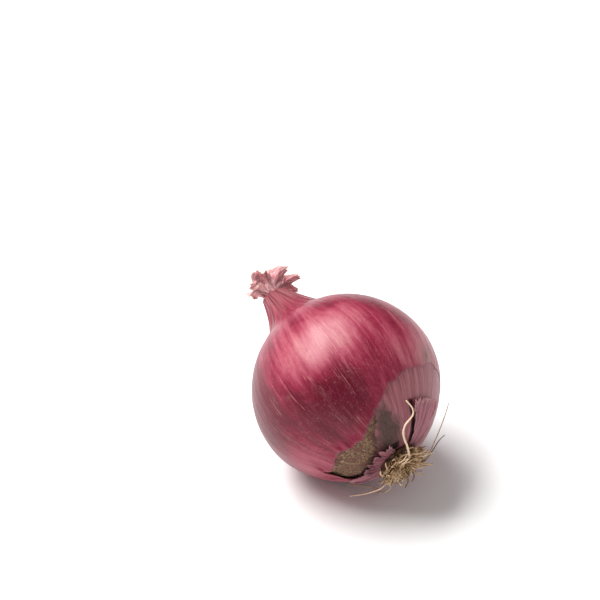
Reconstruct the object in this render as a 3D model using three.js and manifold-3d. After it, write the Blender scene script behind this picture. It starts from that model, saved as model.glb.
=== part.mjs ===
// A red onion as it comes to rest on a table, lying on its side: the bulb in its dry skin with
// its neck, the dried leaf ends that spread from the neck, the corky root plate at the base,
// the dried roots that grow from the plate, and the loose pieces of skin beside it.
// Millimetres, +Z up. The origin is the middle of the flat spot that the bulb rests on. The
// neck points to -X and up, and the root plate to +X and down.
import * as THREE from "three";
import { mergeVertices } from "three/addons/utils/BufferGeometryUtils.js";
import Module from "manifold-3d";

const wasm = await Module();
wasm.setup();

// ---------------------------------------------------------------- driving dimensions
const BULB_RADIUS = 38; // at the widest place, the equator
const ROOT_END = 35; // from the equator to the flat under the root plate
const ROOT_FLAT_RADIUS = 7.5;
const SHOULDER = 33.5; // from the equator to where the bulb turns into the neck
const SHOULDER_RADIUS = 17.8;
const NECK_END = 52; // from the equator to the tied end of the neck
const NECK_RADIUS = 4.4;
// the handles of the outline's curves, as radius and distance from the equator
const BELLY_CURVE = [19, -34, BULB_RADIUS, -19.5];
const SHOULDER_CURVE = [BULB_RADIUS, 14, 30, 27];
const NECK_CURVE = [10.6, 37.3, 7.3, 46];
const NECK_BEND = 2.4; // how far the end of the neck leans to one side
const NECK_BEND_TOWARDS = 100; // degrees round the axis
const NECK_BEND_START = 30; // from the equator
const AXIS_TILT = 20.5; // degrees that the neck points above the horizontal
const REST_SPOT_DEPTH = 0.8; // how deep the rest spot is pressed flat
const LOPSIDED = [
  // parts of the radius by which the bulb swells 1, 2 and 3 times round its axis
  { turns: 1, swell: 0.012, towards: 40 },
  { turns: 2, swell: 0.01, towards: 35 },
  { turns: 3, swell: 0.006, towards: -10 },
];
const GAP = 0.3; // between pieces that grow out of each other
const PLATE_RADIUS = 8;
const PLATE_THICKNESS = 2.6;
const PLATE_EDGE = 0.8; // how much the plate's rim is rounded
const LEAF_THICKNESS = 0.5;
const SKIN_THICKNESS = 0.4;
const ROOT_THICKNESS = 0.8;
const ROOT_STEP = 2; // length of a root's facets

const AROUND = 48; // facets round the bulb
const OUTLINE_STEPS = 13; // facets along each stretch of its outline
const ROOT_SIDES = 6;

const rad = THREE.MathUtils.degToRad;

// ---------------------------------------------------------------- materials
function finish(name, color, roughness) {
  const material = new THREE.MeshStandardMaterial({ color, roughness, metalness: 0 });
  material.name = name;
  return material;
}

const bulbSkin = finish("bulb_skin", 0x8c2444, 0.4);
const looseSkin = finish("loose_skin", 0x9c5468, 0.7);
const leafEnd = finish("leaf_end", 0xcf9096, 0.8);
const corkPlate = finish("root_plate", 0x5f4a32, 0.9);
const rootFibre = finish("root_fibre", 0xb59a6a, 0.8);

// ---------------------------------------------------------------- the onion's own frame
// Y runs along the axis from the root end to the neck, with 0 at the equator. Degrees round
// the axis start at the upper side and grow towards the side that faces -Y in the part.
function round(along, radius, degrees) {
  const turn = rad(degrees);
  return new THREE.Vector3(-radius * Math.sin(turn), along, radius * Math.cos(turn));
}

// Half of the bulb's outline, as radius and distance along the axis: the flat root end, the
// belly up to the equator, the shoulder, and the hollow curve of the neck.
function outlinePath() {
  const path = new THREE.Path();
  path.moveTo(0, -ROOT_END);
  path.lineTo(ROOT_FLAT_RADIUS, -ROOT_END);
  path.bezierCurveTo(...BELLY_CURVE, BULB_RADIUS, 0);
  path.bezierCurveTo(...SHOULDER_CURVE, SHOULDER_RADIUS, SHOULDER);
  path.bezierCurveTo(...NECK_CURVE, NECK_RADIUS, NECK_END);
  path.lineTo(0, NECK_END);
  return path;
}

const FINE_STEPS = 80;
const fineOutline = outlinePath().getPoints(FINE_STEPS).slice(1, -1);

function radiusAt(along) {
  const above = fineOutline.findIndex((point) => point.y > along);
  if (above < 0) return NECK_RADIUS;
  if (above === 0) return ROOT_FLAT_RADIUS;
  const from = fineOutline[above - 1];
  const to = fineOutline[above];
  return THREE.MathUtils.mapLinear(along, from.y, to.y, from.x, to.x);
}

// The bulb isn't a turned shape: it swells unevenly, and its neck leans.
function grown(point) {
  const radius = Math.hypot(point.x, point.z);
  const turn = Math.atan2(-point.x, point.z);
  const share = radius / BULB_RADIUS;
  let swell = 1;
  for (const wave of LOPSIDED) {
    swell += share * wave.swell * Math.cos(wave.turns * (turn - rad(wave.towards)));
  }
  const bent = Math.max(0, (point.y - NECK_BEND_START) / (NECK_END - NECK_BEND_START));
  const lean = round(0, NECK_BEND * bent * bent, NECK_BEND_TOWARDS);
  return point.set(point.x * swell, point.y, point.z * swell).add(lean);
}

// A point of the bulb's skin, or one that stands off it by lift.
function onSkin(along, degrees, lift = 0) {
  const step = 0.2;
  const slope = (radiusAt(along + step) - radiusAt(along - step)) / (2 * step);
  const length = Math.hypot(1, slope);
  return grown(
    round(along - (lift * slope) / length, radiusAt(along) + lift / length, degrees),
  );
}

// ---------------------------------------------------------------- solids
function positionsOnly(geometry) {
  geometry.deleteAttribute("normal");
  geometry.deleteAttribute("uv");
  return mergeVertices(geometry, 1e-4);
}

function toSolid(geometry) {
  const merged = positionsOnly(geometry);
  return new wasm.Manifold(
    new wasm.Mesh({
      numProp: 3,
      vertProperties: merged.attributes.position.array,
      triVerts: new Uint32Array(merged.index.array),
    }),
  );
}

function toGeometry(solid) {
  const mesh = solid.getMesh();
  const geometry = new THREE.BufferGeometry();
  geometry.setAttribute("position", new THREE.BufferAttribute(mesh.vertProperties, 3));
  geometry.setIndex(new THREE.BufferAttribute(mesh.triVerts, 1));
  geometry.computeVertexNormals();
  return geometry;
}

// A thin sheet: a flat box of facets whose points are moved by place(across, along, through).
// across runs from -1 to 1, along from 0 to 1, and through from 0 to 1 from back to front.
function sheet(acrossSteps, alongSteps, place) {
  const geometry = positionsOnly(new THREE.BoxGeometry(2, 1, 1, acrossSteps, alongSteps, 1));
  const position = geometry.attributes.position;
  for (let i = 0; i < position.count; i += 1) {
    const point = place(position.getX(i), position.getY(i) + 0.5, position.getZ(i) + 0.5);
    position.setXYZ(i, point.x, point.y, point.z);
  }
  geometry.computeVertexNormals();
  return geometry;
}

function named(name, geometry, material) {
  const mesh = new THREE.Mesh(geometry, material);
  mesh.name = name;
  return mesh;
}

// ---------------------------------------------------------------- lying on the table
const tilt = rad(AXIS_TILT);
const lying = new THREE.Matrix4().makeBasis(
  new THREE.Vector3(0, 1, 0),
  new THREE.Vector3(-Math.cos(tilt), 0, Math.sin(tilt)),
  new THREE.Vector3(Math.sin(tilt), 0, Math.cos(tilt)),
);

function bulbGeometry() {
  const outline = outlinePath().getPoints(OUTLINE_STEPS);
  const geometry = positionsOnly(new THREE.LatheGeometry(outline, AROUND));
  const position = geometry.attributes.position;
  for (let i = 0; i < position.count; i += 1) {
    const point = grown(new THREE.Vector3().fromBufferAttribute(position, i));
    position.setXYZ(i, point.x, point.y, point.z);
  }
  return geometry;
}

// The bulb is cut flat where it touches the table. This sets the part's origin too.
function restingBulb() {
  const turned = bulbGeometry().applyMatrix4(lying);
  turned.computeBoundingBox();
  const table = turned.boundingBox.min.z + REST_SPOT_DEPTH;
  const block = new THREE.BoxGeometry(4 * BULB_RADIUS, 4 * BULB_RADIUS, 2 * BULB_RADIUS);
  block.translate(0, 0, table - BULB_RADIUS);
  const cut = toGeometry(toSolid(turned).subtract(toSolid(block)));
  const spot = new THREE.Box3();
  const position = cut.attributes.position;
  for (let i = 0; i < position.count; i += 1) {
    const point = new THREE.Vector3().fromBufferAttribute(position, i);
    if (point.z < table + 1e-3) spot.expandByPoint(point);
  }
  const middle = spot.getCenter(new THREE.Vector3());
  cut.translate(-middle.x, -middle.y, -table);
  return { geometry: cut, middle: new THREE.Vector3(middle.x, middle.y, table) };
}

const resting = restingBulb();

const part = new THREE.Group();
part.add(named("bulb", resting.geometry, bulbSkin));

// Everything else is placed in the onion's own frame.
const onion = new THREE.Group();
onion.quaternion.setFromRotationMatrix(lying);
onion.position.copy(resting.middle).negate();
onion.updateMatrixWorld(true);
part.add(onion);

// A point that would be under the table is lifted to lie on it.
function aboveTable(point, clearance) {
  const placed = onion.localToWorld(point.clone());
  placed.z = Math.max(placed.z, clearance);
  return onion.worldToLocal(placed);
}

// ---------------------------------------------------------------- root plate
function rootPlate() {
  const top = -ROOT_END - GAP;
  const bottom = top - PLATE_THICKNESS;
  const profile = new THREE.Path();
  profile.moveTo(0, bottom);
  profile.lineTo(PLATE_RADIUS - 2 * PLATE_EDGE, bottom);
  profile.quadraticCurveTo(PLATE_RADIUS, bottom, PLATE_RADIUS, bottom + 2 * PLATE_EDGE);
  profile.lineTo(PLATE_RADIUS - PLATE_EDGE, top);
  profile.lineTo(0, top);
  return new THREE.LatheGeometry(profile.getPoints(3), 28);
}

onion.add(named("root_plate", rootPlate(), corkPlate));
const PLATE_FACE = -ROOT_END - GAP - PLATE_THICKNESS - GAP;

// ---------------------------------------------------------------- roots
function root(name, route, thickness) {
  const radius = thickness / 2;
  const section = new THREE.Shape();
  for (let side = 0; side < ROOT_SIDES; side += 1) {
    const turn = (2 * Math.PI * side) / ROOT_SIDES;
    const corner = [radius * Math.cos(turn), radius * Math.sin(turn)];
    if (side === 0) section.moveTo(...corner);
    else section.lineTo(...corner);
  }
  section.closePath();
  const path = new THREE.CatmullRomCurve3(route.map((point) => aboveTable(point, thickness)));
  const steps = Math.ceil(path.getLength() / ROOT_STEP);
  const geometry = new THREE.ExtrudeGeometry(section, { steps, extrudePath: path });
  onion.add(named(name, geometry, rootFibre));
}

// The long roots, each with its own route: along the axis, radius, degrees round the axis.
const LONG_ROOTS = {
  root_curled: [
    [PLATE_FACE, 5.2, 5],
    [-40.6, 8.6, 8],
    [-39.3, 14.5, 10],
    [-36.4, 21.6, 12.5],
    [-34.8, 25.4, 9],
    [-33.6, 28.2, 1],
    [-31.6, 30.2, 0],
    [-28.6, 31.6, 2],
  ],
  root_straight: [
    [PLATE_FACE, 5.6, -62],
    [-40.8, 8.8, -82],
    [-38.9, 12.6, -84],
    [-35.9, 17.2, -80],
    [-32.6, 22, -77],
    [-29.3, 26.4, -74],
    [-26.6, 29.8, -72],
  ],
  root_dark: [
    [PLATE_FACE, 6.2, -98],
    [-40.2, 9.6, -99],
    [-38.9, 13.4, -94],
    [-37.4, 16.4, -90],
    [-36.1, 19.2, -87],
    [-35.4, 22.2, -85],
  ],
  root_on_table: [
    [PLATE_FACE, 6.4, 150],
    [-40.6, 11, 158],
    [-37.6, 20, 173],
    [-33.6, 26.6, 179],
    [-30.6, 29, 176],
    [-28, 30, 171],
    [-24.6, 32, 164],
  ],
  root_pale: [
    [PLATE_FACE, 6.6, 128],
    [-39.9, 11.5, 136],
    [-37.6, 17.5, 142],
    [-35.6, 21.5, 139],
    [-34.2, 24.4, 133],
  ],
};

for (const [name, route] of Object.entries(LONG_ROOTS)) {
  root(name, route.map((stop) => round(...stop)), ROOT_THICKNESS);
}

// The short roots fan out from the plate. The outer ones lean out more than the inner ones.
const SHORT_ROOTS = 18;
const GOLDEN_ANGLE = 137.5;
const FIRST_ANGLE = 44;
const SHORT_REACH = 6.6; // radius of the ring on the plate that holds the outermost
const SHORT_LENGTHS = [7.5, 5.5, 9, 6.5, 8.2];
const SHORT_SIDEWAYS = [10, -16, 22, -8];
for (let i = 0; i < SHORT_ROOTS; i += 1) {
  const share = Math.sqrt((i + 0.5) / SHORT_ROOTS);
  const start = SHORT_REACH * share;
  const degrees = FIRST_ANGLE + i * GOLDEN_ANGLE;
  const length = SHORT_LENGTHS[i % SHORT_LENGTHS.length];
  const sideways = SHORT_SIDEWAYS[i % SHORT_SIDEWAYS.length];
  const lean = rad(12 + 62 * share);
  const out = length * Math.sin(lean);
  const down = length * Math.cos(lean);
  root(
    `root_short_${String(i + 1).padStart(2, "0")}`,
    [
      round(PLATE_FACE, start, degrees),
      round(PLATE_FACE - 1.2 - 0.3 * down, start + 0.2 * out, degrees),
      round(PLATE_FACE - 1.2 - 0.8 * down, start + 0.6 * out, degrees + 0.4 * sideways),
      round(PLATE_FACE - 1.2 - down, start + out, degrees + sideways),
    ],
    ROOT_THICKNESS,
  );
}

// ---------------------------------------------------------------- loose skin at the root end
// Each piece lies close over the bulb, and lifts towards its free edge.
function skinPiece(name, piece) {
  const geometry = sheet(6, 6, (across, along, through) => {
    const tooth = 0.5 * Math.sin(7 * across + piece.degrees) * along * piece.ragged;
    const half = THREE.MathUtils.lerp(piece.rootHalf, piece.freeHalf, along);
    const up = THREE.MathUtils.lerp(piece.rootEdge, piece.freeEdge, along) + tooth;
    const lift = GAP + piece.lift * along * along + SKIN_THICKNESS * through;
    return onSkin(up, piece.degrees - half * across, lift);
  });
  onion.add(named(name, geometry, looseSkin));
}

skinPiece("skin_piece_upper", {
  degrees: -32,
  rootEdge: -34.6,
  freeEdge: -27.7,
  rootHalf: 22,
  freeHalf: 15,
  lift: 0.5,
  ragged: 1,
});
skinPiece("skin_piece_middle", {
  degrees: 76,
  rootEdge: -34.7,
  freeEdge: -33.4,
  rootHalf: 30,
  freeHalf: 22,
  lift: 0.9,
  ragged: 1.2,
});
skinPiece("skin_piece_lower", {
  degrees: 124,
  rootEdge: -34.5,
  freeEdge: -30.5,
  rootHalf: 10,
  freeHalf: 8,
  lift: 0.6,
  ragged: 1,
});

// ---------------------------------------------------------------- dried leaf ends on the neck
// Each leaf end grows up from the tied neck, widens and bends outwards.
const LEAF_START_RADIUS = 2.4;
const LEAF_START_HALF_WIDTH = 0.75;

function leafEndPiece(name, leaf) {
  const spine = new THREE.CubicBezierCurve(
    new THREE.Vector2(LEAF_START_RADIUS, NECK_END + GAP),
    new THREE.Vector2(LEAF_START_RADIUS, NECK_END + GAP + leaf.stiff),
    new THREE.Vector2(leaf.reach - leaf.curl, NECK_END + leaf.rise + 0.3 * leaf.stiff),
    new THREE.Vector2(leaf.reach, NECK_END + leaf.rise),
  );
  const sideways = round(0, 1, leaf.degrees - 90);
  const geometry = sheet(6, 9, (across, along, through) => {
    const stop = spine.getPoint(along);
    const tangent = spine.getTangent(along);
    const widening = Math.sin(Math.PI * Math.min(1, 0.2 + 0.62 * along));
    const half = THREE.MathUtils.lerp(LEAF_START_HALF_WIDTH, leaf.half, along * widening);
    const cup = leaf.cup * across * across * along;
    const crinkle = 0.18 * Math.sin(5 * across + 6 * along) * along;
    const off = LEAF_THICKNESS * (through - 0.5) + cup + crinkle;
    const point = round(stop.y - off * tangent.x, stop.x + off * tangent.y, leaf.degrees);
    point.addScaledVector(sideways, half * across);
    return grown(point);
  });
  onion.add(named(name, geometry, leafEnd));
}

const LEAF_ENDS = [
  { degrees: 95, reach: 6.6, rise: 5.4, half: 2.8, stiff: 4, curl: 2, cup: -0.8 },
  { degrees: 42, reach: 4.6, rise: 7.2, half: 1.9, stiff: 4.5, curl: 0.6, cup: -0.6 },
  { degrees: -10, reach: 7.2, rise: 7.8, half: 3.2, stiff: 4.4, curl: 2, cup: -0.9 },
  { degrees: -60, reach: 12.8, rise: 5.6, half: 3.7, stiff: 4.6, curl: 4, cup: -1 },
  { degrees: -108, reach: 11.4, rise: -1.6, half: 3, stiff: 4.2, curl: 3, cup: 0.8 },
  { degrees: -158, reach: 6.4, rise: 5.2, half: 2.4, stiff: 4, curl: 2, cup: -0.6 },
  { degrees: 152, reach: 5.6, rise: 5.8, half: 2, stiff: 4, curl: 1.4, cup: -0.6 },
];
LEAF_ENDS.forEach((leaf, i) => leafEndPiece(`leaf_end_${i + 1}`, leaf));

export default part;
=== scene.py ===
"""The looks of a red onion that lies on its side: a bulb in torn, glossy dry skin, the duller
layer under the tear, crumpled leaf ends on the neck, a corky root plate and its dried roots.

Shapes are worked out in millimetres in the onion's own frame, in which Y runs along the axis
from the root end to the neck, with 0 at the equator. Places on the skin are given by the turn,
in degrees round the axis from the upper side towards -Y, and by the polar angle, in degrees
from the root end as seen from the bulb's centre. Meshes are made in metres in the part's frame.
"""

import math
import random

import bpy
import numpy as np
from mathutils import Matrix, Vector


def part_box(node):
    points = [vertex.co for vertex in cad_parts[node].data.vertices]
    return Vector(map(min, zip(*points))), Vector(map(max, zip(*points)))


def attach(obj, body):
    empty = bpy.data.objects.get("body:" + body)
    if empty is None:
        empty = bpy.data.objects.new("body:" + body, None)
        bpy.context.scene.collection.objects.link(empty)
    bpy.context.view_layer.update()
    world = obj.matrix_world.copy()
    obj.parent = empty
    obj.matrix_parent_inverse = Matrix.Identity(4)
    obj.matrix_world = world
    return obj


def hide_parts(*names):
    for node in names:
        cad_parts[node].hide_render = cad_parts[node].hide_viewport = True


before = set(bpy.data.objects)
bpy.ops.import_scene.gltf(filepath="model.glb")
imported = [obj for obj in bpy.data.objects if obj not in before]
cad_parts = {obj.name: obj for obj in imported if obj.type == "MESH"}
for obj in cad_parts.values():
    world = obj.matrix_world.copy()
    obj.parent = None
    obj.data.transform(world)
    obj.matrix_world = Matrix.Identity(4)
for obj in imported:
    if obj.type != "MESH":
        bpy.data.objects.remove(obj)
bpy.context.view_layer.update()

MM = 0.001
ROOT_BODY = "root"

# -------- the onion's driving sizes
# Millimetres, and degrees of turn. Curves give the two handles between two places of the outline,
# as radius and distance along the axis.
BULB_RADIUS = 38.0
ROOT_END = 35.0
ROOT_FLAT_RADIUS = 7.5
SHOULDER = 33.5
SHOULDER_RADIUS = 17.8
NECK_END = 52.0
NECK_RADIUS = 4.4
BELLY_CURVE = ((19.0, -34.0), (BULB_RADIUS, -19.5))
SHOULDER_CURVE = ((BULB_RADIUS, 14.0), (30.0, 27.0))
NECK_CURVE = ((10.6, 37.3), (7.3, 46.0))
NECK_BEND = 2.4  # how far the neck's end leans
NECK_BEND_TOWARDS = 100.0
NECK_BEND_START = 30.0
AXIS_TILT = math.radians(20.5)
# Swellings: how many round the axis, the share of the radius, and the turn one points towards.
LOPSIDED = ((1, 0.012, 40.0), (2, 0.010, 35.0), (3, 0.006, -10.0))
GAP = 0.3  # between one CAD node and the next
PLATE_RADIUS = 8.0
PLATE_THICKNESS = 2.6
PLATE_FACE = -ROOT_END - GAP - PLATE_THICKNESS - GAP
SKIN_THICKNESS = 0.2
UNDER_DEPTH = 0.4  # of the second layer below the dry skin's outside


# -------- outline and surface
def bezier(start, handle_a, handle_b, end, steps=160):
    s = np.linspace(0.0, 1.0, steps)[:, None]
    a, b, c, d = (np.array(p, float) for p in (start, handle_a, handle_b, end))
    return (1 - s) ** 3 * a + 3 * (1 - s) ** 2 * s * b + 3 * (1 - s) * s**2 * c + s**3 * d


def outline_table():
    """Radius, distance along the axis, outward normal, arc length and polar angle, from the
    edge of the flat root end to the neck's end."""
    root_edge = (ROOT_FLAT_RADIUS, -ROOT_END)
    equator = (BULB_RADIUS, 0.0)
    shoulder = (SHOULDER_RADIUS, SHOULDER)
    stretches = [
        bezier(root_edge, *BELLY_CURVE, equator),
        bezier(equator, *SHOULDER_CURVE, shoulder)[1:],
        bezier(shoulder, *NECK_CURVE, (NECK_RADIUS, NECK_END))[1:],
    ]
    points = np.vstack(stretches)
    steps = np.gradient(points, axis=0)
    steps /= np.linalg.norm(steps, axis=1)[:, None]
    arc = np.concatenate([[0.0], np.cumsum(np.linalg.norm(np.diff(points, axis=0), axis=1))])
    polar = np.degrees(np.arctan2(points[:, 0], -points[:, 1]))
    return points, np.stack([steps[:, 1], -steps[:, 0]], axis=1), arc, polar


OUTLINE, OUTLINE_NORMAL, OUTLINE_ARC, OUTLINE_POLAR = outline_table()
ARC_END = OUTLINE_ARC[-1]
ARC_SHOULDER = float(np.interp(SHOULDER, OUTLINE[:, 1], OUTLINE_ARC))


def arc_at(polar):
    return np.interp(polar, OUTLINE_POLAR, OUTLINE_ARC)


def polar_at(arc):
    return np.interp(arc, OUTLINE_ARC, OUTLINE_POLAR)


def smoothstep(low, high, value):
    s = np.clip((value - low) / (high - low), 0.0, 1.0)
    return s * s * (3 - 2 * s)


def grown(x, y, z):
    """The uneven swelling of the bulb and the lean of its neck, as in the CAD part."""
    turn = np.arctan2(-x, z)
    share = np.hypot(x, z) / BULB_RADIUS
    swell = 1.0
    for turns, amount, towards in LOPSIDED:
        swell = swell + share * amount * np.cos(turns * (turn - math.radians(towards)))
    bent = np.maximum(0.0, (y - NECK_BEND_START) / (NECK_END - NECK_BEND_START))
    lean = NECK_BEND * bent * bent
    towards = math.radians(NECK_BEND_TOWARDS)
    return np.stack([x * swell - lean * math.sin(towards), y, z * swell + lean * math.cos(towards)], -1)


def around(along, radius, turn):
    """Points of the onion's frame from the distance along the axis, the radius and the turn."""
    angle = np.radians(turn)
    along, radius, angle = np.broadcast_arrays(along, radius, angle)
    return np.stack([-radius * np.sin(angle), along, radius * np.cos(angle)], -1)


def on_skin(turn, arc, lift):
    radius = np.interp(arc, OUTLINE_ARC, OUTLINE[:, 0])
    along = np.interp(arc, OUTLINE_ARC, OUTLINE[:, 1])
    out_radius = np.interp(arc, OUTLINE_ARC, OUTLINE_NORMAL[:, 0])
    out_along = np.interp(arc, OUTLINE_ARC, OUTLINE_NORMAL[:, 1])
    points = around(along + lift * out_along, radius + lift * out_radius, turn)
    return grown(points[..., 0], points[..., 1], points[..., 2])


# The axes of the onion's frame in the part's frame, one a row.
AXES = np.array([
    [0.0, 1.0, 0.0],
    [-math.cos(AXIS_TILT), 0.0, math.sin(AXIS_TILT)],
    [math.sin(AXIS_TILT), 0.0, math.cos(AXIS_TILT)],
])


def bulb_centre():
    """Where the bulb's centre is in the part's frame, mm: its own box against the CAD bulb's."""
    turn, arc = np.meshgrid(np.linspace(0, 360, 361), np.linspace(0, ARC_END, 300))
    cap = around(NECK_END, 0.0, 0.0)[None]
    own = np.vstack([on_skin(turn, arc, 0.0).reshape(-1, 3), grown(*cap.T)]) @ AXES
    low, high = (np.array(corner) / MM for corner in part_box("bulb"))
    middle = (low + high) / 2 - (own.min(0) + own.max(0)) / 2
    return np.array([middle[0], middle[1], high[2] - own[:, 2].max()])


CENTRE = bulb_centre()


def to_part(points):
    """Millimetres in the onion's frame to millimetres in the part's frame."""
    return np.asarray(points, float) @ AXES + CENTRE


def to_onion(points):
    return (np.asarray(points, float) - CENTRE) @ AXES.T


# -------- waves and noise
ANY_PHASE = 6.28  # random phases are drawn from 0 to about a full circle


def waves(turn, arc, counts, seed, drift=0.02):
    """A sum of ridges that run from the root to the neck, each with its own phase and drift."""
    draw = random.Random(seed)
    total = 0.0
    for count in counts:
        phase = draw.uniform(0, ANY_PHASE)
        slope = draw.uniform(-1, 1)
        sway = draw.uniform(0, ANY_PHASE)
        angle = count * np.radians(turn) + phase + drift * slope * arc
        total = total + np.cos(angle) * (0.7 + 0.3 * np.sin(0.09 * arc + sway))
    return total / math.sqrt(len(counts))


def rough_line(turn, seed, counts=(7, 11, 17, 26, 41, 63, 97)):
    """A jagged line round the axis, between about -1 and 1."""
    draw = random.Random(seed)
    total = 0.0
    for i, count in enumerate(counts):
        total = total + np.cos(count * np.radians(turn) + draw.uniform(0, ANY_PHASE)) / (1 + 0.45 * i)
    return total / 1.6


def skin_relief(turn, arc):
    """How far the dry skin stands off its plain surface: broad unevenness, fine ribs and the
    folds that gather towards the neck."""
    broad = 0.14 * waves(turn, arc, (3, 5, 8), 11)
    ribs = 0.035 * waves(turn, arc, (19, 27, 34, 43, 58), 12)
    gather = smoothstep(ARC_SHOULDER - 12, ARC_END - 2, arc)
    folds = 0.42 * gather * waves(turn, arc, (9, 13, 16, 21, 29), 13, 0.01)
    pleats = 0.18 * gather**2 * waves(turn, arc, (37, 47, 61), 14, 0.01)
    return broad + ribs + folds + pleats


# -------- mesh making
def make_mesh(name, points, faces, material, replaces=(), layers=None):
    """A piece from points in millimetres in the onion's frame. layers are values per point."""
    mesh = bpy.data.meshes.new(name)
    mesh.from_pydata([tuple(p) for p in to_part(points) * MM], [], faces)
    for key, values in (layers or {}).items():
        values = np.asarray(values, np.float32)
        if values.ndim == 2:
            attribute = mesh.attributes.new(key, "FLOAT_VECTOR", "POINT")
            attribute.data.foreach_set("vector", values.ravel())
        else:
            attribute = mesh.attributes.new(key, "FLOAT", "POINT")
            attribute.data.foreach_set("value", values)
    mesh.polygons.foreach_set("use_smooth", [True] * len(mesh.polygons))
    mesh.materials.append(material)
    mesh.update()
    # A piece that stands for a CAD node can't have the node's own name.
    piece = bpy.data.objects.new(f"{name}_seen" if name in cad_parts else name, mesh)
    bpy.context.scene.collection.objects.link(piece)
    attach(piece, ROOT_BODY)
    if replaces:
        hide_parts(*replaces)


def grid_faces(rows, columns, closed, start=0, flipped=False):
    faces = []
    for i in range(rows - 1):
        for j in range(columns if closed else columns - 1):
            k = (j + 1) % columns
            a, b = start + i * columns + j, start + i * columns + k
            c, d = b + columns, a + columns
            faces.append((a, d, c, b) if flipped else (a, b, c, d))
    return faces


def shell_faces(rows, columns, closed):
    """Faces of a sheet of two grids, the outer one first, joined along every free edge."""
    back = rows * columns
    faces = grid_faces(rows, columns, closed) + grid_faces(rows, columns, closed, back, True)
    for j in range(columns if closed else columns - 1):
        k = (j + 1) % columns
        last = (rows - 1) * columns
        faces.append((j, back + j, back + k, k))
        faces.append((last + j, last + k, back + last + k, back + last + j))
    if not closed:
        for i in range(rows - 1):
            a, b = i * columns, (i + 1) * columns
            faces.append((a, b, back + b, back + a))
            a, b = a + columns - 1, b + columns - 1
            faces.append((a, back + a, back + b, b))
    return faces


def end_fans(rows, columns, flipped=False):
    """Faces that close a grid wound into a tube, round two points that follow the grid's own:
    the first for its first row and the second for its last."""
    first = rows * columns
    last_row = first - columns
    faces = []
    for j in range(columns):
        k = (j + 1) % columns
        fans = [(first, k, j), (first + 1, last_row + j, last_row + k)]
        faces += [fan[::-1] for fan in fans] if flipped else fans
    return faces


def sheet_grid(rows, columns):
    """Shares along a sheet, from 0 to 1, and across it, from -1 to 1."""
    return np.meshgrid(np.linspace(0, 1, rows), np.linspace(-1, 1, columns), indexing="ij")


def both_sides(values):
    """One value a point, for the outer grid of a sheet and again for the inner one."""
    return np.tile(values.ravel(), 2)


def growth(turn, arc):
    """The place on the plant, for materials: a circle round the axis and the length along it."""
    angle = np.radians(turn)
    turn, arc, angle = np.broadcast_arrays(turn, arc, angle)
    return np.stack([np.cos(angle), np.sin(angle), arc / BULB_RADIUS], -1).reshape(-1, 3)


def uneven_turns(dense_low, dense_high, dense_step, coarse_step):
    """Columns round the axis, closer together over the torn part of the skin."""
    dense = np.arange(dense_low, dense_high, dense_step)
    coarse = np.arange(dense_high, dense_low + 360, coarse_step)
    return np.concatenate([dense, coarse])


def depth_inside(turn, polar, corners):
    """How deep a place is inside a region near the root end, in mm, and below 0 outside it.
    corners are (turn, polar). Distances are taken on a flat map round the root end."""
    scale = math.radians(BULB_RADIUS)
    px, py = polar * np.cos(np.radians(turn)) * scale, polar * np.sin(np.radians(turn)) * scale
    ring = [(p * math.cos(math.radians(t)) * scale, p * math.sin(math.radians(t)) * scale)
            for t, p in corners]
    nearest = np.full(np.shape(px), 1e9)
    inside = np.zeros(np.shape(px), bool)
    for (ax, ay), (bx, by) in zip(ring, ring[1:] + ring[:1]):
        ex, ey = bx - ax, by - ay
        s = np.clip(((px - ax) * ex + (py - ay) * ey) / (ex * ex + ey * ey), 0, 1)
        nearest = np.minimum(nearest, np.hypot(px - ax - s * ex, py - ay - s * ey))
        crosses = (ay > py) != (by > py)
        inside ^= crosses & (px < ax + (py - ay) * ex / np.where(ey == 0, 1e-9, ey))
    return np.where(inside, nearest, -nearest)


# -------- shader helper
MIX_FACTOR, MIX_A, MIX_B, MIX_RESULT = 0, 6, 7, 2  # the colour sockets of a Mix node


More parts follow.
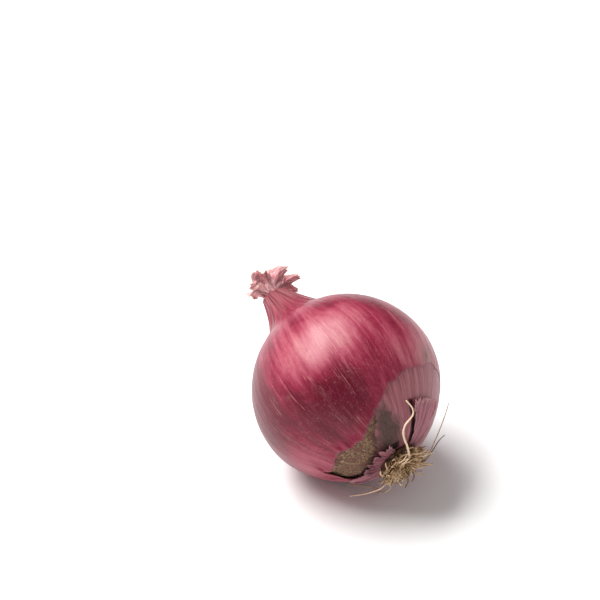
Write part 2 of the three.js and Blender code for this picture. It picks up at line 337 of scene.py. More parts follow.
class Shader:
    """A material's nodes, made by short calls. Each call returns the output socket it makes."""

    def __init__(self, name, **constants):
        self.material = bpy.data.materials.new(name)
        self.material.use_nodes = True
        self.nodes = self.material.node_tree.nodes
        self.links = self.material.node_tree.links
        self.surface = self.nodes["Principled BSDF"]
        for socket, value in constants.items():
            self.surface.inputs[socket.replace("_", " ")].default_value = value

    def put(self, value, socket):
        if isinstance(value, bpy.types.NodeSocket):
            self.links.new(value, socket)
        else:
            socket.default_value = value

    def attribute(self, name, output="Fac"):
        node = self.nodes.new("ShaderNodeAttribute")
        node.attribute_name = name
        return node.outputs[output]

    def stretched(self, vector, scale):
        node = self.nodes.new("ShaderNodeVectorMath")
        node.operation = "MULTIPLY"
        self.links.new(vector, node.inputs[0])
        node.inputs[1].default_value = scale
        return node.outputs[0]

    def noise(self, vector, scale, detail=4.0, roughness=0.55, distortion=0.0):
        node = self.nodes.new("ShaderNodeTexNoise")
        self.links.new(vector, node.inputs["Vector"])
        node.inputs["Scale"].default_value = scale
        node.inputs["Detail"].default_value = detail
        node.inputs["Roughness"].default_value = roughness
        node.inputs["Distortion"].default_value = distortion
        return node.outputs["Fac"]

    def drawn_out(self, place, across, along, detail, roughness=0.55, distortion=0.0):
        """Noise that follows the plant: how fine it is round the axis and along it."""
        stretched = self.stretched(place, (across, across, along))
        return self.noise(stretched, 1.0, detail, roughness, distortion)

    def span(self, value, low, high, to_low=0.0, to_high=1.0):
        """A value from low to high becomes one from to_low to to_high, eased and clamped."""
        node = self.nodes.new("ShaderNodeMapRange")
        node.interpolation_type = "SMOOTHSTEP"
        self.links.new(value, node.inputs["Value"])
        for socket, number in zip(("From Min", "From Max", "To Min", "To Max"),
                                  (low, high, to_low, to_high)):
            node.inputs[socket].default_value = number
        return node.outputs[0]

    def math(self, operation, a, b=0.0):
        node = self.nodes.new("ShaderNodeMath")
        node.operation = operation
        self.put(a, node.inputs[0])
        self.put(b, node.inputs[1])
        return node.outputs[0]

    def add(self, a, b):
        return self.math("ADD", a, b)

    def times(self, a, b):
        return self.math("MULTIPLY", a, b)

    def mix(self, factor, a, b):
        node = self.nodes.new("ShaderNodeMix")
        node.data_type = "RGBA"
        self.put(factor, node.inputs[MIX_FACTOR])
        self.put(a if isinstance(a, bpy.types.NodeSocket) else (*a, 1.0), node.inputs[MIX_A])
        self.put(b if isinstance(b, bpy.types.NodeSocket) else (*b, 1.0), node.inputs[MIX_B])
        return node.outputs[MIX_RESULT]

    def bump(self, height, distance, strength):
        node = self.nodes.new("ShaderNodeBump")
        node.inputs["Strength"].default_value = strength
        node.inputs["Distance"].default_value = distance
        self.links.new(height, node.inputs["Height"])
        self.links.new(node.outputs[0], self.surface.inputs["Normal"])

    def place(self):
        return self.nodes.new("ShaderNodeTexCoord").outputs["Object"]

    def finish(self, color, roughness):
        self.put(color, self.surface.inputs["Base Color"])
        self.put(roughness, self.surface.inputs["Roughness"])
        return self.material


# -------- colours, linear
DEEP = (0.122, 0.004, 0.018)
CRIMSON = (0.250, 0.014, 0.044)
ROSE = (0.400, 0.072, 0.112)
PALE_ROSE = (0.520, 0.190, 0.210)
VEIN = (0.640, 0.290, 0.290)
TORN_EDGE_SHADE = (0.230, 0.070, 0.085)
DULL = (0.270, 0.078, 0.088)
BRUISE = (0.150, 0.080, 0.062)
UNDER_DARK = (0.270, 0.066, 0.095)
UNDER_PALE = (0.440, 0.165, 0.182)
UNDER_STAIN = (0.350, 0.150, 0.135)
UNDER_LINES = (0.130, 0.030, 0.045)
ASH_DARK = (0.066, 0.040, 0.036)
ASH_PALE = (0.190, 0.115, 0.098)
PAPER_DARK = (0.055, 0.025, 0.016)
PAPER = (0.260, 0.145, 0.080)
PAPER_FLAKE = (0.600, 0.420, 0.250)
PAPER_STAIN = (0.170, 0.070, 0.056)
PAPER_RIM = (0.062, 0.026, 0.020)
SHADE = (0.020, 0.004, 0.006)
LOOSE_DARK = (0.180, 0.030, 0.062)
LOOSE_PALE = (0.490, 0.160, 0.200)
LOOSE_SPOT = (0.090, 0.018, 0.030)
LOOSE_RIM = (0.540, 0.270, 0.260)
LEAF_PALE = (0.900, 0.540, 0.550)
LEAF_VEIN = (0.680, 0.230, 0.280)
LEAF_DARK = (0.200, 0.034, 0.060)
LEAF_SPOT = (0.430, 0.130, 0.150)
LEAF_RIM = (0.800, 0.520, 0.470)
BROWN = (0.235, 0.130, 0.072)
DARK_BROWN = (0.060, 0.030, 0.018)
PLATE_PALE = (0.300, 0.190, 0.100)
# Each kind of root from its darkest to its palest.
STRAW_TONES = ((0.190, 0.100, 0.045), (0.540, 0.350, 0.180), (0.880, 0.650, 0.450))
DARK_ROOT_TONES = ((0.050, 0.036, 0.030), (0.110, 0.080, 0.066), (0.260, 0.200, 0.160))
PINK_GLOSS = (1.0, 0.74, 0.78, 1.0)


# -------- materials
def skin_ground(s, place, streaks, fibres):
    """The skin's colour, from deep crimson to pale rose, in bands, streaks and mottling, with the tone
    patches, which include a painted shadow and a painted highlight.
    """
    bands = s.drawn_out(place, 6.0, 0.9, 5.0, 0.62, 0.4)
    mottle = s.drawn_out(place, 4.4, 3.4, 6.0, 0.64, 0.6)
    light = s.add(s.times(bands, 0.62), s.times(streaks, 0.26))
    light = s.add(light, s.times(s.math("SUBTRACT", fibres, 0.5), 0.14))
    light = s.add(light, s.times(mottle, 0.40))
    # The tone patches add painted light here: a painted shadow down the left side and a painted highlight
    # under the key light.
    light = s.add(s.math("SUBTRACT", light, 0.14), s.attribute("tone"))
    color = s.mix(s.span(light, 0.31, 0.55), DEEP, CRIMSON)
    color = s.mix(s.span(light, 0.48, 0.70), color, ROSE)
    return s.mix(s.span(light, 0.62, 0.90), color, PALE_ROSE)


def skin_threads(s, place):
    """Where there are thin pale threads from root to neck, broken here and there."""
    vein = s.drawn_out(place, 36.0, 0.7, 2.0, 0.5, 0.15)
    ridge = s.math("ABSOLUTE", s.math("SUBTRACT", vein, 0.5))
    unbroken = s.span(s.drawn_out(place, 6.0, 2.2, 3.0), 0.44, 0.64)
    return s.times(s.span(ridge, 0.0, 0.016, 1.0, 0.0), unbroken)


def skin_specks(s, place, color):
    """Pale and dark specks over the colour, and the small bruises that they break up."""
    speckle = s.drawn_out(place, 64.0, 17.0, 5.0, 0.78, 1.0)
    color = s.mix(s.span(speckle, 0.52, 0.72, 0.0, 0.28), color, PALE_ROSE)
    color = s.mix(s.span(speckle, 0.30, 0.50, 0.35, 0.0), color, DEEP)
    bruise = s.times(s.attribute("bruise"), s.span(speckle, 0.40, 0.56, 0.2, 1.0))
    return s.mix(s.times(bruise, 0.7), color, BRUISE)


def skin_scuffs(s, place):
    """Where the skin is scuffed, 0 or 1: small flakes, with more of them where it is worn."""
    scuff = s.drawn_out(place, 52.0, 26.0, 5.0, 0.78, 1.4)
    least = s.span(s.attribute("worn"), 0.0, 1.0, 0.665, 0.60)
    return s.math("GREATER_THAN", s.math("SUBTRACT", scuff, least), 0.0)


def skin_material():
    """Dry outer skin: crimson, mottled with rose, with fine pale threads from root to neck and painted
    shade along its torn edge.
    """
    s = Shader("bulb_skin", Coat_Weight=0.26, Coat_Roughness=0.33, Specular_IOR_Level=0.19,
               Specular_Tint=PINK_GLOSS)
    place = s.attribute("growth", "Vector")
    streaks = s.drawn_out(place, 24.0, 1.5, 4.0, 0.6, 0.25)
    fibres = s.drawn_out(place, 95.0, 3.0, 3.0, 0.6)
    thread = skin_threads(s, place)
    scuffed = skin_scuffs(s, place)
    color = skin_ground(s, place, streaks, fibres)
    color = s.mix(s.times(thread, 0.50), color, VEIN)
    color = s.mix(s.span(fibres, 0.56, 0.74, 0.0, 0.22), color, DEEP)
    color = skin_specks(s, place, color)
    color = s.mix(s.times(scuffed, 0.45), color, PALE_ROSE)
    dull = s.times(s.attribute("dull"), s.span(streaks, 0.3, 0.65, 0.3, 0.8))
    color = s.mix(dull, color, DULL)
    # Painted shade: the dry skin darkens towards its torn edge.
    color = s.mix(s.span(s.attribute("edge"), 0.0, 1.4, 0.65, 0.0), color, TORN_EDGE_SHADE)
    relief = s.add(s.times(streaks, 0.6), s.times(fibres, 0.35))
    relief = s.add(relief, s.times(thread, 0.16))
    relief = s.add(relief, s.times(scuffed, 0.12))
    s.bump(relief, 0.00035, 0.5)
    return s.finish(color, s.span(streaks, 0.3, 0.7, 0.34, 0.46))


def brown_paper(s, grain, blotch):
    """The brown patch: grainy paper with pale flakes, stained, and darkest along its border."""
    paper = s.mix(s.span(grain, 0.43, 0.53), PAPER_DARK, PAPER)
    paper = s.mix(s.span(grain, 0.51, 0.60), paper, PAPER_FLAKE)
    paper = s.mix(s.span(blotch, 0.44, 0.60, 0.0, 0.75), paper, PAPER_STAIN)
    border = s.span(s.attribute("brown"), 0.2, 3.4, 0.75, 0.0)
    return s.mix(s.times(border, s.span(blotch, 0.36, 0.56)), paper, PAPER_RIM)


def under_material():
    """The layer under the tear: rose like the dry skin, with a brown papery patch, a grey one and painted
    shade in the hollows beside the loose skin."""
    s = Shader("under_skin", Specular_IOR_Level=0.42, Specular_Tint=PINK_GLOSS)
    place = s.attribute("growth", "Vector")
    fine = s.drawn_out(place, 110.0, 3.0, 3.0, 0.6)
    streaks = s.drawn_out(place, 26.0, 1.6, 4.0, 0.6, 0.3)
    blotch = s.drawn_out(place, 9.0, 7.0, 6.0, 0.72, 0.8)
    grain = s.drawn_out(place, 34.0, 28.0, 6.0, 0.78, 2.6)
    color = s.mix(s.span(streaks, 0.32, 0.70), UNDER_DARK, UNDER_PALE)
    color = s.mix(s.span(blotch, 0.46, 0.72, 0.0, 0.45), color, UNDER_STAIN)
    color = s.mix(s.span(fine, 0.52, 0.74, 0.0, 0.35), color, UNDER_LINES)
    wander = s.times(s.math("SUBTRACT", blotch, 0.5), 15.0)
    grey = s.span(s.add(s.attribute("grey"), wander), -3.4, 3.2)
    color = s.mix(grey, color, s.mix(s.span(grain, 0.38, 0.66), ASH_DARK, ASH_PALE))
    brown = s.span(s.add(s.attribute("brown"), s.times(wander, 0.2)), -0.5, 0.5)
    color = s.mix(brown, color, brown_paper(s, grain, blotch))
    # Painted shade in the hollows beside the loose skin.
    color = s.mix(s.span(s.attribute("hollow_shade"), -0.2, 0.8), color, SHADE)
    papery = s.math("MAXIMUM", brown, grey)
    rough = s.times(papery, grain)
    height = s.add(s.times(fine, 0.35), s.times(rough, 1.6))
    s.bump(height, 0.0005, 0.8)
    return s.finish(color, s.span(papery, 0.0, 1.0, 0.42, 0.85))


def loose_material():
    """Loose pieces of dry skin by the root: papery, rose-purple, darker along the veins."""
    s = Shader("loose_skin", Specular_IOR_Level=0.4, Sheen_Weight=0.15)
    place = s.attribute("growth", "Vector")
    streaks = s.drawn_out(place, 34.0, 1.8, 4.0, 0.65, 0.3)
    grain = s.drawn_out(place, 70.0, 24.0, 5.0, 0.7, 0.6)
    color = s.mix(s.span(streaks, 0.35, 0.66), LOOSE_DARK, LOOSE_PALE)
    color = s.mix(s.span(grain, 0.55, 0.75, 0.0, 0.6), color, LOOSE_SPOT)
    color = s.mix(s.span(s.attribute("edge"), 0.0, 0.7, 0.6, 0.0), color, LOOSE_RIM)
    s.bump(s.add(streaks, grain), 0.0004, 0.7)
    return s.finish(color, s.span(grain, 0.3, 0.7, 0.5, 0.75))


def leaf_material():
    """Dried leaf ends: pale pink paper with crimson veins, darker in the folds, partly with the leaf's own
    crimson and partly with painted shade.
    """
    s = Shader("leaf_end", Specular_IOR_Level=0.35, Subsurface_Weight=0.7)
    s.surface.inputs["Subsurface Radius"].default_value = (0.0030, 0.0014, 0.0014)
    place = s.attribute("growth", "Vector")
    veins = s.noise(s.stretched(place, (7.0, 1.0, 1.0)), 1.0, 4.0, 0.6, 0.3)
    grain = s.noise(s.stretched(place, (16.0, 9.0, 9.0)), 1.0, 5.0, 0.7, 0.5)
    color = s.mix(s.span(veins, 0.40, 0.62), LEAF_PALE, LEAF_VEIN)
    # The dark in the folds is partly the leaf's darker crimson and partly painted shade.
    color = s.mix(s.span(s.attribute("fold_shade"), 0.3, 1.0, 0.0, 0.62), color, LEAF_DARK)
    color = s.mix(s.span(grain, 0.56, 0.76, 0.0, 0.5), color, LEAF_SPOT)
    color = s.mix(s.span(s.attribute("edge"), 0.0, 0.18, 0.0, 1.0), LEAF_RIM, color)
    s.bump(s.add(veins, grain), 0.0004, 0.8)
    return s.finish(color, 0.62)


def plate_material():
    """Corky root plate: rough, brown, cracked."""
    s = Shader("root_plate", Specular_IOR_Level=0.2)
    place = s.place()
    grain = s.noise(place, 700.0, 6.0, 0.7, 0.6)
    lump = s.noise(place, 260.0, 4.0, 0.6)
    color = s.mix(s.span(grain, 0.35, 0.68), DARK_BROWN, BROWN)
    color = s.mix(s.span(lump, 0.55, 0.75, 0.0, 0.6), color, PLATE_PALE)
    s.bump(grain, 0.0006, 0.9)
    return s.finish(color, s.span(lump, 0.3, 0.7, 0.75, 0.95))


def root_material(name, dark, middle, pale):
    """Dried roots: straw to brown, each root its own tone, with fine lengthwise wrinkles and painted shade
    near its base.
    """
    s = Shader(name, Specular_IOR_Level=0.35)
    place = s.place()
    grain = s.noise(place, 1500.0, 4.0, 0.7)
    mottle = s.noise(place, 420.0, 4.0, 0.6)
    tone = s.add(s.times(mottle, 0.55), s.times(s.attribute("strand"), 0.5))
    color = s.mix(s.span(tone, 0.28, 0.52), dark, middle)
    color = s.mix(s.span(tone, 0.50, 0.80), color, pale)
    # Painted shade: dark brown where each root leaves the plate, fading out over about its first third.
    color = s.mix(s.span(s.attribute("depth"), 0.0, 1.0, 0.75, 0.0), color, DARK_BROWN)
    s.bump(grain, 0.0002, 0.6)
    return s.finish(color, s.span(grain, 0.3, 0.7, 0.55, 0.8))


SKIN = skin_material()
UNDER = under_material()
LOOSE = loose_material()
LEAF = leaf_material()
PLATE = plate_material()
ROOT = root_material("root_fibre", *STRAW_TONES)
ROOT_DARK = root_material("root_fibre_dark", *DARK_ROOT_TONES)


# -------- the torn dry skin
# Where the dry skin ends, as turn and polar angle: the thin edge, the tear over the brown patch,
# and the ragged end round the back, close to the root plate.
TEAR = [
    (-122, 26), (-106, 42), (-84, 56), (-58, 62.5), (-35, 64.5), (-20, 62.5), (-7, 60.5), (8, 56.5),
    (19, 51), (27, 46), (33, 42), (39.6, 40.6), (50, 39.4), (58.8, 40.5), (70, 43.5), (82.8, 42.5),
    (92, 44.6),
    (99, 44.2), (101.6, 47.5), (104, 40), (110, 36), (117, 34), (122, 24), (132, 15), (150, 13.5),
    (180, 13.5), (205, 14.5), (225, 15),
]
# How far the free edge lifts, as turn and millimetres.
LIFTED = [(-122, -0.2), (-50, -0.28), (-30, -0.2), (-7, 0.0), (18, 0.12), (30, 0.6), (60, 1.0),
          (100, 1.1), (118, 0.7), (135, 0.2), (200, 0.15)]
CURL_LENGTH = 2.6  # of the skin that is lifted with the edge
TEAR_RAGGED = 1.25  # degrees of polar angle
TEAR_RAGS = (9, 15, 23, 38, 57, 83, 119)  # round the axis
LEAST_POLAR = 12.6  # the skin stops outside the flat root end
DRY_ROWS = 158
DRY_TURNS = dict(dense_low=-124, dense_high=140, dense_step=1.15, coarse_step=2.0)
DRY_CLEARANCE = 0.12  # of the skin's inner side from the table


def round_table(turn, table):
    return np.interp(turn, *zip(*table), period=360)


# Patches of lighter or darker skin: turn, polar angle, spread across and along, strength. The patch at
# turn 100, polar 106 is a painted shadow down the left side, and the one at turn 24, polar 104 is a
# painted highlight.
TONES_AND_PAINTED_LIGHT = [
    (100, 106, 24, 36, -0.38), (78, 92, 20, 18, -0.08), (42, 70, 24, 16, -0.28), (60, 58, 18, 10, -0.08),
    (94, 62, 26, 15, 0.17), (-34, 72, 24, 18, 0.30), (-8, 126, 50, 12, -0.03), (-28, 102, 14, 16, -0.04),
    (24, 104, 26, 19, 0.33), (60, 112, 16, 18, 0.06), (-5, 80, 10, 16, 0.02), (30, 142, 90, 9, 0.05),
    (200, 80, 60, 40, 0.05), (260, 110, 50, 30, -0.06), (150, 120, 40, 26, -0.05), (170, 40, 60, 16, 0.10),
]
# Small bruises, in the same terms.
BRUISES = [(-36, 68, 4.5, 5.5, 1.3), (-42, 74, 3.0, 3.0, 1.0), (62, 88, 1.8, 1.4, 0.9),
           (84, 74, 1.6, 1.2, 0.9)]
# Where the skin is most scuffed.
WORN = [(38, 66, 40, 22, 1.0), (0, 72, 24, 18, 0.7), (80, 60, 30, 14, 0.5)]


def patches(turn, polar, table):
    total = 0.0
    for at_turn, at_polar, across, along, strength in table:
        away = (np.mod(turn - at_turn + 180, 360) - 180) / across
        total = total + strength * np.exp(-(away**2) - ((polar - at_polar) / along) ** 2)
    return total


def dry_layers(turn, arc, away):
    """What the skin's material reads: the place, the way from the torn edge, and the patches."""
    polar = polar_at(arc)
    return {
        "growth": np.vstack([growth(turn, arc)] * 2),
        "edge": both_sides(away),
        "tone": both_sides(patches(turn, polar, TONES_AND_PAINTED_LIGHT)),
        "dull": both_sides(smoothstep(ARC_SHOULDER - 2, ARC_END, arc)),
        "bruise": both_sides(patches(turn, polar, BRUISES)),
        "worn": both_sides(patches(turn, polar, WORN)),
    }


def dry_skin():
    """The outer skin, a thin sheet from its torn edge to the neck's end."""
    turns = uneven_turns(**DRY_TURNS)[::-1]  # reversed, so that the faces point outwards
    edge_polar = round_table(turns, TEAR) + TEAR_RAGGED * rough_line(turns, 21, TEAR_RAGS)
    edge_arc = arc_at(np.maximum(edge_polar, LEAST_POLAR))
    spread = np.linspace(0.0, 1.0, DRY_ROWS)[:, None]
    spread = spread * (0.45 + 0.55 * spread)  # the rows are closer together near the edge
    arc = edge_arc[None] + (ARC_END - edge_arc[None]) * spread
    turn = np.broadcast_to(turns[None], arc.shape)
    away = arc - edge_arc[None]
    raised = round_table(turns, LIFTED)[None] * (1 + 0.35 * rough_line(turns, 22)[None])
    lift = skin_relief(turn, arc) + raised * np.exp(-((away / CURL_LENGTH) ** 2))
    thickness = SKIN_THICKNESS * smoothstep(-0.6, 0.5, away)
    outer = on_skin(turn, arc, lift).reshape(-1, 3)
    inner = on_skin(turn, arc, lift - thickness).reshape(-1, 3)
    points = np.vstack([lay_flat(outer, 0.0), lay_flat(inner, DRY_CLEARANCE)])
    faces = shell_faces(DRY_ROWS, len(turns), True)
    make_mesh("dry_skin", points, faces, SKIN, ["bulb"], dry_layers(turn, arc, away))


def lay_flat(points, clearance):
    """What would be under the table is raised to lie on it, or a clearance above it."""
    placed = to_part(points)
    placed[:, 2] = np.maximum(placed[:, 2], clearance)
    return to_onion(placed)


# -------- the layer under it
# Outlines of its patches and of the hollows beside the loose skin that get painted shade, as turn and
# polar angle.
BROWN_PATCH = [(24, 45), (34, 45), (60, 46), (86, 48), (103, 49), (116, 40), (121, 33), (112, 22),
               (100, 16), (70, 21), (46, 25), (36, 34)]
GREY_PATCH = [(26, 47), (17, 46), (9, 40), (4, 30), (8, 18), (40, 13), (54, 18), (46, 26), (34, 35),
              (28, 42)]
SHADED_HOLLOWS = [
    [(-8, 45.5), (-14, 45), (-19, 30), (-26, 16), (-15, 14), (-12, 30)],
    [(92, 24), (112, 27), (116, 21), (100, 16), (84, 17)],
    [(8, 20), (34, 21), (60, 17), (40, 13), (10, 14)],
]
BARE_POLAR = 72  # the rows are closer together as far as this, where the layer shows
BARE_ROWS = 110
COVERED_ROWS = 60
UNDER_TURNS = dict(dense_low=-80, dense_high=140, dense_step=1.1, coarse_step=2.4)
UNDER_CLEARANCE = 0.3  # of the layer from the table
FAR_OUTSIDE = -9.0


def patch_layer(turn, polar, outlines):
    """How deep each point is inside the nearest outline, with both end points far outside."""
    depth = np.max([depth_inside(turn, polar, corners) for corners in outlines], axis=0)
    return np.append(depth.ravel(), [FAR_OUTSIDE, FAR_OUTSIDE])


def under_layer():
    """The next layer, a closed shape a little below the dry skin's outside."""
    turns = uneven_turns(**UNDER_TURNS)[::-1]  # reversed, so that the faces point outwards
    arcs = np.concatenate([
        np.linspace(0, arc_at(BARE_POLAR), BARE_ROWS),
        np.linspace(arc_at(BARE_POLAR), ARC_END - 1.0, COVERED_ROWS)[1:],
    ])
    turn, arc = np.meshgrid(turns, arcs)
    relief = 0.05 * waves(turn, arc, (23, 31, 44), 31) + 0.6 * skin_relief(turn, arc)
    points = on_skin(turn, arc, relief - UNDER_DEPTH).reshape(-1, 3)
    ends = np.array([[0.0, -ROOT_END + UNDER_DEPTH, 0.0], [0.0, NECK_END - 1.4, 0.0]])
    ends[1] = grown(*ends[1])
    points = lay_flat(np.vstack([points, ends]), UNDER_CLEARANCE)
    rows, columns = len(arcs), len(turns)
    polar = polar_at(arc)
    layers = {
        "growth": np.vstack([growth(turn, arc), [[0, 0, 0], [0, 0, ARC_END / BULB_RADIUS]]]),
        "brown": patch_layer(turn, polar, [BROWN_PATCH]),
        "grey": patch_layer(turn, polar, [GREY_PATCH]),
        "hollow_shade": patch_layer(turn, polar, SHADED_HOLLOWS),
    }
    faces = grid_faces(rows, columns, True) + end_fans(rows, columns)
    make_mesh("under_skin", points, faces, UNDER, ["bulb"], layers)


# -------- loose skin beside the plate
LOOSE_PIECES = {
    # turns, polar angles and half widths in degrees of turn, each at the root edge and then at the
    # free edge; how far the free edge lifts in mm; how ragged it is in degrees of polar angle
    "skin_piece_upper": dict(turns=(-40, -30), polars=(13.5, 43.5), halves=(19, 18),
                             lift=0.9, ragged=0.9, seed=41),
    "skin_piece_middle": dict(turns=(72, 66), polars=(13, 23), halves=(46, 34),
                              lift=1.5, ragged=2.2, seed=42),
    "skin_piece_lower": dict(turns=(128, 125), polars=(13, 33), halves=(22, 10),
                             lift=0.8, ragged=1.4, seed=43),
}
LOOSE_ROWS, LOOSE_COLUMNS = 46, 60


def loose_piece(name, turns, polars, halves, lift, ragged, seed):
    along, across = sheet_grid(LOOSE_ROWS, LOOSE_COLUMNS)
    side_wave = 1 + 0.05 * rough_line(along * 150, seed + 1) * np.abs(across)
    half = (halves[0] + (halves[1] - halves[0]) * along) * side_wave
    turn = turns[0] + (turns[1] - turns[0]) * along - half * across
    far = polars[1] + ragged * rough_line(across * 120, seed)
    polar = polars[0] + (far - polars[0]) * along
    crumple = 0.16 * waves(turn, along * 20, (17, 29, 41, 55), seed + 2)
    bow = 0.55 * np.abs(across) ** 3 * along
    stand = 0.15 + lift * along**2 + bow + crumple * (0.3 + along)
    arc = arc_at(polar)
    outer = on_skin(turn, arc, stand + SKIN_THICKNESS).reshape(-1, 3)
    inner = on_skin(turn, arc, stand).reshape(-1, 3)
    rim = np.minimum(np.minimum(1 - along, 1 - np.abs(across)) * 6, 3.0)
    layers = {"growth": np.vstack([growth(turn, arc)] * 2), "edge": both_sides(rim)}
    faces = shell_faces(LOOSE_ROWS, LOOSE_COLUMNS, False)
    make_mesh(name, np.vstack([outer, inner]), faces, LOOSE, [name], layers)


# -------- dried leaf ends on the neck
LEAF_THICKNESS = 0.22
LEAF_ROWS, LEAF_COLUMNS = 64, 70
LEAF_BASE = 0.9  # half the width where a leaf end leaves the neck
# Turn round the axis, radius where it starts, radius and height where it ends, how straight it
# rises, how far its tip rolls, half width, pleats, cup, twist in degrees and seed.
LEAF_FORM = ("turn", "start", "reach", "rise", "stiff", "roll", "half", "pleats", "cup", "twist", "seed")
LEAF_ENDS = {
    "leaf_end_1": (95, 3.0, 6.4, 4.4, 3.4, 2.6, 4.9, 0.9, -2.6, 30, 51),
    "leaf_end_2": (42, 2.8, 5.6, 7.0, 3.8, 1.6, 3.6, 1.7, -1.4, -10, 52),
    "leaf_end_3": (-12, 2.4, 7.4, 8.0, 4.4, 1.8, 3.9, 1.7, -1.5, 10, 53),
    "leaf_end_4": (-60, 2.4, 12.6, 6.0, 5.0, 3.0, 3.5, 1.4, -1.4, 75, 54),
    "leaf_end_5": (-104, 3.0, 13.0, -0.6, 8.5, 0.5, 2.9, 0.9, 0.6, 0, 55),
    "leaf_end_6": (-156, 2.8, 6.8, 5.0, 3.6, 2.4, 3.8, 1.4, -1.4, 0, 56),
    "leaf_end_7": (152, 2.8, 6.4, 5.4, 3.6, 2.0, 3.8, 1.4, -1.4, 0, 57),
    "leaf_scrap": (-80, 2.6, 15.4, 2.0, 5.0, 2.0, 2.2, 1.1, -0.8, 50, 58),
    "leaf_core_1": (15, 1.2, 4.0, 7.0, 3.6, 0.6, 2.8, 1.4, -1.4, 30, 59),
    "leaf_core_2": (-70, 1.2, 6.4, 6.0, 3.6, 1.0, 2.8, 1.4, -1.4, 60, 60),
}


def leaf_spine(start, reach, rise, stiff, roll):
    """Handles of the curve that a leaf end follows, as radius and distance along the axis."""
    return np.array([
        [start, NECK_END - 0.8],
        [start + 0.2, NECK_END + stiff],
        [reach - roll, NECK_END + rise + 0.35 * stiff],
        [reach, NECK_END + rise],
    ])


def along_spine(spine, s):
    """The stops at shares s of a spine, and the direction in which it runs there."""
    stop = (1 - s) ** 3 * spine[0] + 3 * (1 - s) ** 2 * s * spine[1]
    stop = stop + 3 * (1 - s) * s**2 * spine[2] + s**3 * spine[3]
    slope = 3 * (1 - s) ** 2 * (spine[1] - spine[0]) + 6 * (1 - s) * s * (spine[2] - spine[1])
    slope = slope + 3 * s**2 * (spine[3] - spine[2])
    return stop, slope / np.linalg.norm(slope, axis=-1, keepdims=True)


def torn_share(along, across, phases):
    """How far along its spine each point is: less at the sides, and torn along the free end."""
    torn = 0.05 * np.cos(5 * across + phases[0]) + 0.04 * np.cos(14 * across + phases[1])
    torn = torn + 0.03 * np.cos(31 * across + phases[2])
    return along * (1 - 0.40 * across**2 + torn * smoothstep(0.3, 1.0, along))


def crumpled(along, across, pleat, cup, phases):
    """How far each point stands off the spine: the pleats, the cup and two sets of creases."""
    off = 0.48 * pleat * (0.2 + along) + cup * across**2 * (0.2 + along)
    crease = np.abs(np.cos(5 * across + 7 * along + phases[5])) - 0.6
    off = off + 0.28 * crease * smoothstep(0.1, 0.7, along)
    off = off + 0.18 * (np.abs(np.cos(9 * across - 8 * along + phases[6])) - 0.6) * along
    return off + 0.10 * np.cos(23 * across + 17 * along + phases[7]) * along


def leaf_side(stop, slope, spread, lifted, twisted, turn):
    """Points spread sideways from the spine and lifted off it, after the twist."""
    facing = np.radians(turn)
    sideways = np.array([math.cos(facing), 0.0, math.sin(facing)])
    off = spread * np.sin(twisted) + lifted * np.cos(twisted)
    aside = spread * np.cos(twisted) - lifted * np.sin(twisted)
    radius = stop[..., 0] + off * slope[..., 1]
    height = stop[..., 1] - off * slope[..., 0]
    flat = around(height, radius, turn) + aside[..., None] * sideways
    return grown(flat[..., 0], flat[..., 1], flat[..., 2]).reshape(-1, 3)


def leaf_end(name, turn, start, reach, rise, stiff, roll, half, pleats, cup, twist, seed):
    draw = random.Random(seed)
    phases = [draw.uniform(0, ANY_PHASE) for _ in range(8)]
    along, across = sheet_grid(LEAF_ROWS, LEAF_COLUMNS)
    share = torn_share(along, across, phases)
    stop, slope = along_spine(leaf_spine(start, reach, rise, stiff, roll), share[..., None])
    width = LEAF_BASE + (half - LEAF_BASE) * smoothstep(0.20, 0.80, along)
    width = width * (1 + 0.07 * np.cos(9 * along + phases[3]))
    spread = width * across + 0.5 * np.cos(6 * along + phases[7]) * along
    pleat = np.cos(pleats * math.pi * across + phases[4] + 0.8 * along)
    off = crumpled(along, across, pleat, cup, phases)
    twisted = np.radians(twist) * smoothstep(0.15, 0.8, along)
    sheets = [leaf_side(stop, slope, spread, off + through * LEAF_THICKNESS, twisted, turn)
              for through in (0.5, -0.5)]
    place = np.stack([across * half, along * 6.0 + seed, off * 0.3], -1).reshape(-1, 3)
    # Where the folds get painted shade, less towards the tip.
    fold_shade = np.clip(-pleat, 0, 1) * (1 - 0.45 * along)
    rim = np.minimum(1 - along, 1 - np.abs(across))
    layers = {"growth": np.vstack([place] * 2), "fold_shade": both_sides(fold_shade), "edge": both_sides(rim)}
    stands_for = [name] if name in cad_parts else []
    faces = shell_faces(LEAF_ROWS, LEAF_COLUMNS, False)
    make_mesh(name, np.vstack(sheets), faces, LEAF, stands_for, layers)


# -------- root plate
PLATE_COLUMNS = 110
PLATE_ROWS = 23  # of each of its two sides


